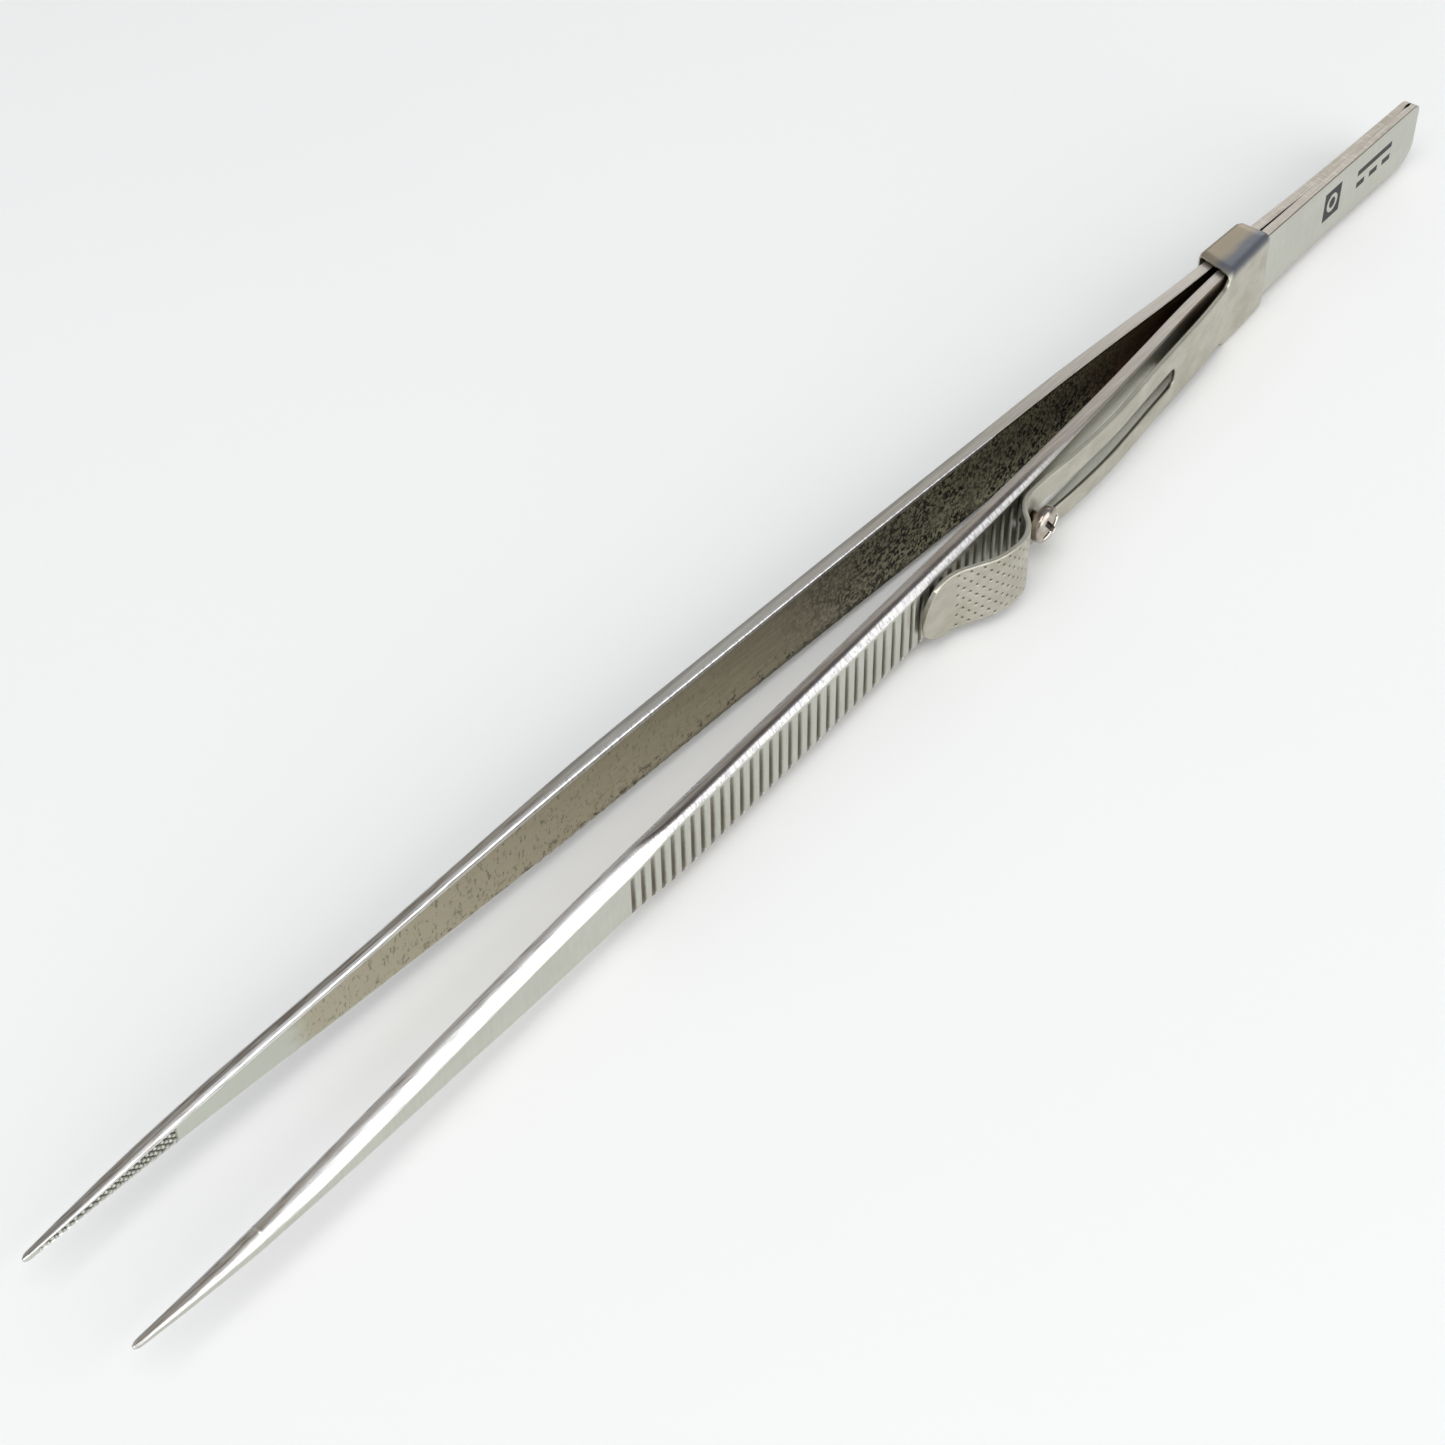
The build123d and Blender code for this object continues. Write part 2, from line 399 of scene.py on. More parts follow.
def section_corners(side, x):
    """The six corners of a leaf's cross section, as (y, z) pairs, and the round on each."""
    gap = half_gap(side, x)
    half = through(HALF_WIDTH, x)
    thick = through(THICKNESS, x)
    bevel = through(BEVEL_WIDTH, x)
    band = thick - through(FRONT_BEVEL_DEPTH if side > 0 else REAR_BEVEL_DEPTH, x)
    drop = TAIL_DROP * ease(x, TAIL_DROP_FROM, 0)
    top, low = half - drop, -half - drop
    if side > 0:
        top += NICK_HEIGHT * math.exp(-((x - NICK_AT) / NICK_REACH) ** 2)
    if x < TAIL_TOP_ROUND:
        top -= TAIL_TOP_ROUND - math.sqrt(TAIL_TOP_ROUND ** 2 - (TAIL_TOP_ROUND - x) ** 2)
    if x < TAIL_LOW_ROUND:
        low += TAIL_LOW_ROUND - math.sqrt(TAIL_LOW_ROUND ** 2 - (TAIL_LOW_ROUND - x) ** 2)
    tail_share = 1 - math.sqrt(1 - (1 - min(x / END_ROUND, 1)) ** 2)
    tip_share = ease(x, LEAF_LENGTH - TIP_ROUND, LEAF_LENGTH)
    pinch = END_PINCH * tail_share + TIP_PINCH * tip_share
    lift = END_LIFT * tail_share + TIP_LIFT * tip_share
    inner = TIP_INNER * tip_share
    crevice = CREVICE_HALF_WIDTH * math.exp(-((x - CREVICE_AT) / CREVICE_REACH) ** 2)
    corners = [(gap + inner, low + lift), (gap + inner + crevice, top - lift),
               (gap + band - pinch, top - lift), (gap + thick - pinch, top - bevel - lift),
               (gap + thick - pinch, low + bevel + lift), (gap + band - pinch, low + lift)]
    seam, edge = through(INNER_ROUND, x), through(EDGE_ROUND, x)
    rounds = (seam, seam, edge, edge, edge, edge)
    return corners, rounds


def section_ring(side, x):
    """Points round a leaf at x, each with its zone and its share of the painted dark reflection by the
    bevel.
    """
    corners, rounds = section_corners(side, x)
    count = len(corners)
    ring = []
    for i, zone in enumerate(ZONES):
        here = Vector(corners[i])
        there = Vector(corners[(i + 1) % count])
        ahead = Vector(corners[(i + 2) % count]) - there
        run = there - here
        if run.length < LEAST_SIDE:
            run = Vector((0, LEAST_SIDE))
        reach = min(rounds[i], run.length * ROUND_LIMIT)
        next_reach = min(rounds[(i + 1) % count], run.length * ROUND_LIMIT,
                         ahead.length * ROUND_LIMIT)
        first = here + run.normalized() * reach
        last = there - run.normalized() * next_reach
        for k in range(FACE_STEPS[i]):
            by_bevel = i == 1 and k == FACE_STEPS[i] - 1
            ring.append((first.lerp(last, k / FACE_STEPS[i]), zone, 0.7 if by_bevel else 0.0))
        onward = there + ahead.normalized() * next_reach
        next_zone = ZONES[(i + 1) % count]
        for k in range(CORNER_STEPS):
            t = k / CORNER_STEPS
            point = last.lerp(there, t).lerp(there.lerp(onward, t), t)
            corner_zone = zone if k < CORNER_STEPS / 2 else next_zone
            if INNER in (zone, next_zone) and x > INNER_EDGE_BRIGHT:
                corner_zone = BEVEL
            ring.append((point, corner_zone, 1.0 if (zone, next_zone) == (BAND, BEVEL) else 0.0))
    return ring


def groove_cut(x, z):
    """Share of a groove's depth at a place: it runs out at the bevel, and is full at the low edge."""
    index = nearest_groove(x)
    if not 0 <= index < GROOVE_COUNT:
        return 0.0
    start = through(HALF_WIDTH, x) - through(BEVEL_WIDTH, x) - GROOVE_INSET
    fading = ease(z, start, start - GROOVE_FADE)
    sharp = ease(z, start + 0.08, start - 0.25)
    run = fading * GROOVE_FADE_SHARE + (1 - GROOVE_FADE_SHARE) * sharp
    away = abs(x - groove_place(index))
    slim = 0.5 + 0.5 * run
    return run * (1 - ease(away, GROOVE_FLOOR / 2 * slim - 0.02, GROOVE_MOUTH / 2 * slim + 0.01))


def file_cut(x, z):
    """Depth of the diamond file cut inside the tips: two sets of slanting V-grooves."""
    if x < FILE_CUT_START:
        return 0.0
    deepest = 0.0
    for slant in (1.0, -1.0):
        across = (x * FILE_CUT_SLANT + slant * z) / FILE_CUT_PITCH
        away = abs(across - round(across)) * 2
        deepest = max(deepest, 1 - away / FILE_CUT_WIDTH)
    return FILE_CUT_DEPTH * deepest * ease(x, LEAF_LENGTH, LEAF_LENGTH - FILE_CUT_FADE)


def leaf(side):
    """A bar of as many sides as a section has points, ringed at the stations, then shaped."""
    stations = leaf_stations()
    around = len(section_ring(side, 60.0))
    bm = bmesh.new()
    bmesh.ops.create_cone(bm, cap_ends=True, segments=around, radius1=1, radius2=1, depth=1)
    lengthwise = [e for e in bm.edges if abs(e.verts[0].co.z - e.verts[1].co.z) > 0.5]
    bmesh.ops.subdivide_edges(bm, edges=lengthwise, cuts=len(stations) - 2, use_grid_fill=True)
    marks = [bm.verts.layers.float.new(name) for name in ("inner", "band", "bevel")]
    hollow = bm.verts.layers.float.new("hollow")
    crease = bm.verts.layers.float.new("crease")
    outline = bm.verts.layers.float.new("outline")
    rings = {}
    for vert in bm.verts:
        ring_index = round((vert.co.z + 0.5) * (len(stations) - 1))
        turn = math.atan2(vert.co.y, vert.co.x) / math.tau
        point_index = round(turn * around) % around
        x = stations[ring_index]
        if ring_index not in rings:
            rings[ring_index] = section_ring(side, x)
        point, zone, vert[crease] = rings[ring_index][point_index]
        y, z = point
        groove = groove_cut(x, z)
        outer_face = half_gap(side, x) + through(THICKNESS, x)
        if groove > 0 and zone != INNER:
            y = min(y, outer_face - GROOVE_DEPTH * groove)
            vert[hollow] = groove if zone in (BEVEL, OUTER) else 0.0
        if zone == INNER:
            y += file_cut(x, z)
            vert[hollow] = file_cut(x, z) / FILE_CUT_DEPTH
            vert[outline] = ease(through(HALF_WIDTH, x) - abs(z), 0.55, 0.1)
        for layer, wanted in zip(marks, (INNER, BAND, BEVEL)):
            vert[layer] = 1.0 if zone == wanted else 0.0
        vert.co = place(x, side * y, z)
    bmesh.ops.recalc_face_normals(bm, faces=bm.faces[:])
    return bm


def tones_along(f, along, stops):
    """A colour that changes along the leaf, from stops in millimetres from the tail's end."""
    return f.add("ShaderNodeValToRGB", {"stops": [(x / LEAF_LENGTH, tone(*c)) for x, c in stops]},
                 {0: along / LEAF_LENGTH})


def leaf_steel(name, band_stops, mark):
    """Satin ground steel; the inner face keeps the dark scale and heat colours of the hardening, darkened
    towards the tail by painted shade where the leaves close up.
    """
    f = Finish(name)
    at = f.leaf_place()
    along = f.axis(at, 0)
    upward = f.axis(at, 2)
    inner, band, bevel = (f.painted(layer) for layer in ("inner", "band", "bevel"))
    hollow, crease, outline = (f.painted(layer) for layer in ("hollow", "crease", "outline"))
    cross_grain = f.noise(at, (7.0, 0.8, 0.5), detail=3.0, roughness=0.6)
    ropes = f.noise(at, (5.0, 1.6, 2.2), detail=2.0, roughness=0.5)
    long_grain = f.noise(at, (0.25, 5.0, 5.0), detail=3.0, roughness=0.6)
    cloud = f.noise(at, (0.12, 0.5, 0.5), detail=3.0)
    fine = f.noise(at, (2.6, 2.6, 2.6), detail=4.0, roughness=0.65)
    toward_tip = along.rising(116, 122)

    colour = f.mix(cloud, tone(188, 188, 177), tone(203, 204, 195))
    colour = f.mix(cross_grain.rising(0.35, 0.75) * 0.22, colour, tone(168, 167, 155))

    band_tone = tones_along(f, along, band_stops)
    streaks = long_grain.rising(0.35, 0.68)
    band_colour = f.mix(streaks * 0.45, band_tone, tone(222, 217, 210))
    dark_streaks = f.noise(at, (0.16, 7.0, 7.0), detail=3.0).rising(0.52, 0.7)
    band_colour = f.mix(dark_streaks * along.rising(96, 118) * 0.55, band_colour, tone(84, 72, 62))
    cross_bits = cross_grain.rising(0.5, 0.72) * along.rising(60, 20)
    band_colour = f.mix(cross_bits * 0.6, band_colour, tone(232, 226, 218))
    colour = f.mix(band, colour, band_colour)
    edge_colour = f.mix(along.rising(58, 72), tone(150, 141, 128), tone(238, 237, 235))
    ripple = f.larger(cross_grain.rising(0.42, 0.66) * 0.6, ropes.rising(0.48, 0.62))
    edge_colour = f.mix(ripple * (1 - toward_tip) * 0.5, edge_colour, tone(150, 146, 150))
    striae = f.noise(at, (0.3, 9.0, 9.0), detail=3.0).rising(0.48, 0.66)
    edge_colour = f.mix(striae * toward_tip * 0.65, edge_colour, tone(160, 155, 150))
    colour = f.mix(bevel, colour, edge_colour)
    # painted dark reflection along the corner between the band and the bevel, strongest on the front leaf
    dark_line = crease * along.rising(60, 72) * along.rising(119, 116) * (fine * 0.6 + 0.6)
    colour = f.mix(dark_line.rising(0.1, 1.0) * (0.8 if mark else 0.3), colour, tone(84, 76, 76))
    # painted shade darkening the hollows of the finger grooves
    painted_hollow_shade = (hollow * (fine * 0.5 + 0.75)).rising(0.12, 0.8)
    colour = f.mix(painted_hollow_shade * 0.85, colour, tone(96, 87, 74))

    # inner face tone along the leaf: heat scale, with painted shade towards the tail where the leaves
    # close up
    scale_and_shade_tone = tones_along(f, along, SCALE_AND_SHADE_STOPS)
    lighter = f.mix(long_grain.rising(0.35, 0.8) * 0.3, scale_and_shade_tone, tone(196, 190, 170))
    heat = along.rising(38, 43) * along.rising(54, 47) * upward.rising(2.2, -1.5)
    lighter = f.mix(heat * cloud.rising(0.3, 0.6), lighter, tone(150, 88, 34))
    pit_zone = along.rising(42, 56) * along.rising(96, 79)
    blotches = f.noise(at, (2.5, 2.7, 2.7), detail=3.0, roughness=0.7).rising(0.455, 0.515)
    patches = f.noise(at, (0.4, 0.4, 0.4), detail=3.0, roughness=0.6).rising(0.32, 0.6)
    low_edge = (upward / 3.4).rising(-0.1, -0.9) * along.rising(146, 132) * along.rising(60, 90)
    edge_pits = f.noise(at, (1.5, 1.8, 1.8), detail=4.0, roughness=0.7).rising(0.54, 0.62) * low_edge
    ground = (along + cloud * 5).rising(143, 146)
    flecks = f.noise(at, (3.6, 1.4, 1.6), detail=3.0, roughness=0.7).rising(0.56, 0.64)
    flecks = flecks * along.rising(84, 122) * (1 - ground)
    pitted = f.larger(blotches * pit_zone * (patches * 0.5 + 0.5),
                      f.larger(edge_pits * 0.75, flecks * 0.4))
    glint = f.noise(at, (3.6, 3.6, 3.6), detail=2.0).rising(0.55, 0.63) * pit_zone
    lighter = f.mix(ground, lighter, tone(204, 207, 196))
    inner_colour = f.mix(glint * 0.5, f.mix(pitted, lighter, tone(20, 18, 12)), tone(188, 186, 150))
    outline_dark = outline * along.rising(124, 100) * 0.75
    inner_colour = f.mix(outline_dark, inner_colour, tone(24, 20, 15))
    # painted shade darkening the hollows of the file cut inside the tips
    inner_colour = f.mix(painted_hollow_shade * 0.85, inner_colour, tone(58, 50, 38))
    colour = f.mix(inner, colour, inner_colour)
    painted_slot_highlight = 0.0
    if mark:
        outer = (1 - inner) * (1 - band)
        under_slot = f.larger(upward, -1 * upward).rising(1.5, 1.2)
        # painted highlight: the front leaf's outer face under the slot is made near-white and rougher, so
        # it reads as brightly lit through the slot
        painted_slot_highlight = outer * along.rising(44.5, 46) * along.rising(68, 66) * under_slot
        colour = f.mix(painted_slot_highlight, colour, tone(252, 252, 248))
        # brown tint with painted shade on the front leaf's outer face ahead of the collar, where the
        # strip lies close over it
        brown_and_strip_shade = outer * along.rising(33, 37) * along.rising(50, 42) * (0.4 + cloud)
        colour = f.mix(brown_and_strip_shade * 0.7, colour, tone(112, 94, 66))
        etched = mark(f, along, upward) * outer
        colour = f.mix(etched, colour, tone(22, 21, 20))

    rough = cross_grain * 0.1 + fine * 0.06 + 0.28
    rough = rough + band * 0.05 - bevel * 0.04 + inner * 0.08 + pitted * inner * 0.25 + painted_slot_highlight * 0.25
    f.set(Base_Color=colour, Metallic=1.0, Roughness=rough)
    height = cross_grain * (1 - band) * (1 - toward_tip * bevel) + long_grain * band * 0.7
    height = height + long_grain * bevel * toward_tip * 1.2 + bevel * cross_grain * (1 - toward_tip) * 1.6
    f.set(Normal=f.bump(height - pitted * inner * 1.4 + glint * inner * 0.5, 0.5, 0.02))
    return f


# The etched sign, along the tail and up its width.
SQUARE_X, SQUARE_Z = 16.2, 0.15
SQUARE_HALF = 1.5
RING_INSIDE, RING_OUTSIDE, RING_SOFT = 0.5, 0.98, 0.08
BAR_X, BAR_Z, BAR_HALF = 8.4, 0.75, 3.2
DASHES_X, DASHES_Z, DASH_HALF = (6.0, 8.4, 10.8), -0.55, 0.75
STROKE_HALF = 0.3
ETCH_SOFT = 0.04


def tail_mark(f, along, upward):
    """A plain etched sign on the tail: a square with a ring, and a bar over three dashes."""
    def within(wire, centre, half):
        away = f.add("ShaderNodeMath", {"operation": "ABSOLUTE"}, {0: wire - centre})
        return away.rising(half + ETCH_SOFT, half - ETCH_SOFT)

    def box(centre_x, centre_z, half_x, half_z):
        return within(along, centre_x, half_x) * within(upward, centre_z, half_z)

    out = f.add("ShaderNodeMath", {"operation": "SQRT"},
                {0: (along - SQUARE_X) ** 2.0 + (upward - SQUARE_Z) ** 2.0})
    ring = (out.rising(RING_INSIDE, RING_INSIDE + RING_SOFT)
            * out.rising(RING_OUTSIDE, RING_OUTSIDE - RING_SOFT))
    sign = box(SQUARE_X, SQUARE_Z, SQUARE_HALF, SQUARE_HALF) * (1 - ring)
    sign = sign + box(BAR_X, BAR_Z, BAR_HALF, STROKE_HALF)
    for dash_x in DASHES_X:
        sign = sign + box(dash_x, DASHES_Z, DASH_HALF, STROKE_HALF)
    return sign


# (millimetres from the tail's end, colour) of the inner faces, then of each leaf's bands
# The inner faces darken towards the tail with heat scale and with painted shade where the leaves close
# up.
SCALE_AND_SHADE_STOPS = [(0, (60, 50, 40)), (36, (62, 50, 38)), (44, (116, 88, 54)), (52, (138, 124, 90)),
               (62, (150, 145, 114)), (74, (154, 150, 122)), (84, (142, 135, 114)), (96, (150, 141, 118)),
               (112, (170, 161, 137)), (130, (184, 177, 155)), (165, (196, 192, 174))]
FRONT_BAND = [(0, (182, 172, 158)), (24, (186, 177, 163)), (36, (200, 192, 179)),
              (48, (196, 188, 176)), (64, (176, 167, 155)), (88, (166, 156, 143)),
              (114, (164, 154, 142)), (121, (214, 209, 202)), (136, (208, 201, 194)),
              (152, (182, 173, 162)), (165, (176, 168, 158))]
REAR_BAND = [(0, (178, 168, 154)), (24, (184, 175, 161)), (36, (208, 201, 189)),
             (48, (202, 195, 183)), (64, (190, 184, 172)), (80, (190, 184, 172)),
             (96, (200, 197, 187)), (112, (198, 194, 184)), (122, (170, 161, 147)),
             (144, (140, 131, 121)), (152, (168, 160, 150)), (165, (160, 152, 144))]
front_steel = leaf_steel("front_leaf_steel", FRONT_BAND, mark=tail_mark)
front_leaf = finished_piece("front_leaf", leaf(1), front_steel, smooth_angle=32)
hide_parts("front_tail", "front_arm")
place(26, 0, 0)
place(31, 0, 0)
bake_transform(front_leaf)

rear_steel = leaf_steel("rear_leaf_steel", REAR_BAND, mark=None)
rear_leaf = finished_piece("rear_leaf", leaf(-1), rear_steel, smooth_angle=32)
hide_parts("rear_tail", "rear_arm")
place(26, 0, 0)
place(31, 0, 0)
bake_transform(rear_leaf)

# ---------------------------------------------------------------------------------------------
# The lock slide: one piece of 0.45 mm stainless sheet. A blank is cut with its slot and rounded
# tongue, its edges are tumbled, the thumb tab is dimpled, and it is folded round both leaves
# into a collar whose ends meet at the back, with the strip bent to ride over the front arm.
# ---------------------------------------------------------------------------------------------
SHEET = 0.45
RIM_ROUND = 0.16
COLLAR_START = 28.9
COLLAR_END = 35.8                # of its sides; the front runs further forward, the back less
COLLAR_SLANT = 0.3               # forward, per millimetre towards the front
COLLAR_HALF_HEIGHT = 3.95
COLLAR_ROUND = 0.82              # of its bends at the front, outside
COLLAR_REAR_ROUND = 0.62
COLLAR_LEAD = 0.6                # of the front wall's edge, past the sides'
COLLAR_REAR = (-1.93, -2.05)     # outer face of the back wall at the collar's start and end
SEAM_GAP = 0.06
STRIP_HALF = 2.9
JOIN_ROUND = 0.8
SLOT_START, SLOT_END, SLOT_HALF = 46.3, 70.4, 0.95
SLOT_MIDDLE = -0.15
SLOT_TURN, SLOT_LAST = SLOT_START + SLOT_HALF, SLOT_END - SLOT_HALF    # centres of its round ends
TONGUE_END = 84.65
TONGUE_TURN = TONGUE_END - STRIP_HALF
STRIP_ROOT = STRIP_HALF + JOIN_ROUND
JOIN_END = COLLAR_END + JOIN_ROUND
STRIP_LINE = [(28.9, 1.375), (32.5, 1.6), (36, 1.8), (41, 2.43), (46, 2.88), (50, 3.23),
              (54, 3.65), (58, 4.0), (63, 4.12), (69.8, 4.05), (71.4, 4.75), (72.8, 6.05),
              (74.2, 6.7), (75.8, 6.81), (77.6, 6.48), (79.2, 5.7), (80.6, 5.03), (82.0, 4.76),
              (84.65, 4.68)]
BEND_STEP = 0.05                 # over which the strip's slope and length are taken
LEAD_FADE, SLOPE_FADE = 6.0, 2.0
DIMPLE_FIRST, DIMPLE_LAST = 72.6, 80.9
DIMPLE_MARGIN = 0.25
DIMPLE_PITCH = 0.58
DIMPLE_ROW = 1.0
DIMPLE_RADIUS = 0.21
DIMPLE_DEPTH = 0.13
COLLAR_FLAT = COLLAR_HALF_HEIGHT - COLLAR_ROUND
COLLAR_ARC = COLLAR_ROUND * math.pi / 2
COLLAR_TOP = 2.0                 # flat of the collar's top in the blank
COLLAR_REAR_FLAT = COLLAR_HALF_HEIGHT - COLLAR_REAR_ROUND
COLLAR_REAR_ARC = COLLAR_REAR_ROUND * math.pi / 2
COLLAR_HALF_WAY = (COLLAR_FLAT + COLLAR_ARC + COLLAR_TOP + COLLAR_REAR_ARC + COLLAR_REAR_FLAT
                   - SEAM_GAP / 2)
COLLAR_ROWS = 14
RIM_STEPS = (0.035, 0.085, 0.15)     # rows and columns that carry the round on the slot's rim
HAIR = 1e-4


def blank_columns():
    """Places across the blank as (share of the strip's half width, or None, place in the collar)."""
    slot_columns, edge_columns, collar_columns = 12, 9, 44
    shares = [SLOT_HALF * math.sin(math.pi / 2 * i / (slot_columns / 2)) / STRIP_HALF
              for i in range(int(slot_columns / 2) + 1)]
    shares += [(SLOT_HALF + step) / STRIP_HALF for step in RIM_STEPS]
    rest = 1 - shares[-1]
    shares += [1 - rest + rest * math.sin(math.pi / 2 * (i + 1) / edge_columns)
               for i in range(edge_columns)]
    half = [(share, share * STRIP_ROOT) for share in shares]
    half += [(None, STRIP_ROOT + (COLLAR_HALF_WAY - STRIP_ROOT) * (i + 1) / collar_columns)
             for i in range(collar_columns)]
    return [(None if s is None else -s, -v) for s, v in reversed(half[1:])] + half


def blank_rows():
    """Places along the blank as (place, how far the row bows forward, half width of the bow)."""
    strip_step, bow_reach, bow_rows, slot_rows, end_rows, tab_rows = 0.7, 3.0, 5, 36, 10, 34
    rows = [(COLLAR_START + (COLLAR_END - COLLAR_START) * i / COLLAR_ROWS, 0, 1)
            for i in range(COLLAR_ROWS + 1)]
    rows += [(COLLAR_END + JOIN_ROUND * (1 - math.cos(math.radians(a))), 0, 1)
             for a in (20, 40, 55, 70, 80, 90)]
    x = rows[-1][0] + strip_step
    while x < SLOT_TURN - bow_reach:
        rows.append((x, 0, 1))
        x += strip_step
    rows += [(SLOT_TURN - bow_reach * (1 - i / bow_rows), -SLOT_HALF * ease(i, 0, bow_rows),
              SLOT_HALF) for i in range(bow_rows)]
    rows += [(SLOT_TURN - step, -SLOT_HALF, SLOT_HALF) for step in (*reversed(RIM_STEPS), 0)]
    rows += [(SLOT_TURN + (SLOT_LAST - SLOT_TURN) * i / slot_rows, 0, 1)
             for i in range(1, slot_rows)]
    rows += [(SLOT_LAST + step, SLOT_HALF, SLOT_HALF) for step in (0, *RIM_STEPS)]
    rows += [(SLOT_LAST + bow_reach * i / end_rows, SLOT_HALF * ease(i, end_rows, 0), SLOT_HALF)
             for i in range(1, end_rows + 1)]
    x = rows[-1][0]
    for i in range(1, tab_rows + 1):
        share = i / tab_rows
        bow = STRIP_HALF * ease(share, 0.35, 1.65) * 2 if share < 1 else STRIP_HALF
        rows.append((x + (TONGUE_TURN - x) * share, bow, STRIP_HALF))
    return rows


def collar_point(front, rear, across, rise):
    """Where a point of the blank goes round the collar: its y and z, rise above the outer face."""
    side = -1 if across < 0 else 1
    v = abs(across)
    r = COLLAR_ROUND + rise
    if v <= COLLAR_FLAT:
        return front + rise, side * v
    v -= COLLAR_FLAT
    if v <= COLLAR_ARC:
        turn = v / COLLAR_ROUND
        return front - COLLAR_ROUND + r * math.cos(turn), side * (COLLAR_FLAT + r * math.sin(turn))
    v -= COLLAR_ARC
    if v <= COLLAR_TOP:
        run = (front - rear - COLLAR_ROUND - COLLAR_REAR_ROUND) * v / COLLAR_TOP
        return front - COLLAR_ROUND - run, side * (COLLAR_HALF_HEIGHT + rise)
    v -= COLLAR_TOP
    r = COLLAR_REAR_ROUND + rise
    if v <= COLLAR_REAR_ARC:
        turn = v / COLLAR_REAR_ROUND
        return (rear + COLLAR_REAR_ROUND - r * math.sin(turn),
                side * (COLLAR_REAR_FLAT + r * math.cos(turn)))
    v -= COLLAR_REAR_ARC
    return rear - rise, side * (COLLAR_REAR_FLAT - v)


def strip_length():
    """Length along the bent tab up to each step from the first dimple, for spacing the dimples."""
    lengths = [0.0]
    for i in range(int((TONGUE_END - DIMPLE_FIRST) / BEND_STEP)):
        x = DIMPLE_FIRST + i * BEND_STEP
        climb = through(STRIP_LINE, x + BEND_STEP) - through(STRIP_LINE, x)
        lengths.append(lengths[-1] + math.hypot(BEND_STEP, climb))
    return lengths


tab_lengths = strip_length()


def dimple(u, v):
    """Share of a pressed dot's depth at a place of the blank."""
    if not DIMPLE_FIRST < u < DIMPLE_LAST or abs(v) > STRIP_HALF - DIMPLE_MARGIN:
        return 0.0
    run = tab_lengths[int((u - DIMPLE_FIRST) / BEND_STEP)]
    nearest = 1.0
    for column in (math.floor(run / DIMPLE_PITCH), math.floor(run / DIMPLE_PITCH) + 1):
        shift = 0.5 * (column % 2)
        row = round(v / DIMPLE_ROW - shift) + shift
        nearest = min(nearest, math.hypot(run - column * DIMPLE_PITCH, v - row * DIMPLE_ROW))
    return ease(nearest, DIMPLE_RADIUS, 0.02)


def rim_distance(u, v):
    """How far a place of the blank is from the nearest cut edge."""
    slot_near = min(max(u, SLOT_TURN), SLOT_LAST)
    to_slot = math.hypot(u - slot_near, v - SLOT_MIDDLE) - SLOT_HALF
    v = abs(v)
    if u > TONGUE_TURN:
        to_side = STRIP_HALF - math.hypot(u - TONGUE_TURN, v)
    else:
        to_side = math.hypot(max(JOIN_END - u, 0), max(STRIP_ROOT - v, 0)) - JOIN_ROUND
    return max(min(to_slot, to_side, u - COLLAR_START, COLLAR_HALF_WAY - v), 0)


def fold(u, v, rise):
    """Blank to slide: v goes round the collar, u follows the strip's bends, rise stands off it."""
    if u <= COLLAR_END + HAIR:
        share = (u - COLLAR_START) / (COLLAR_END - COLLAR_START)
        front = through(STRIP_LINE, u + COLLAR_LEAD * share) + SHEET / 2
        rear = COLLAR_REAR[0] + (COLLAR_REAR[1] - COLLAR_REAR[0]) * share
        y, z = collar_point(front, rear, v, rise)
        return u + (COLLAR_LEAD - COLLAR_SLANT * (front - y)) * share, y, z
    along = u + COLLAR_LEAD * ease(u, COLLAR_END + LEAD_FADE, COLLAR_END)
    slope = ((through(STRIP_LINE, along + BEND_STEP) - through(STRIP_LINE, along - BEND_STEP))
             / (2 * BEND_STEP))
    slope *= ease(u, COLLAR_END, COLLAR_END + SLOPE_FADE)
    stand = SHEET / 2 + rise
    lean = math.hypot(1, slope)
    out_of_reach = -10           # a rear wall that the strip never comes near
    wrap, z = collar_point(0, out_of_reach, v, rise)
    y = through(STRIP_LINE, along) + stand / lean + wrap - rise
    return along - stand * slope / lean, y, z


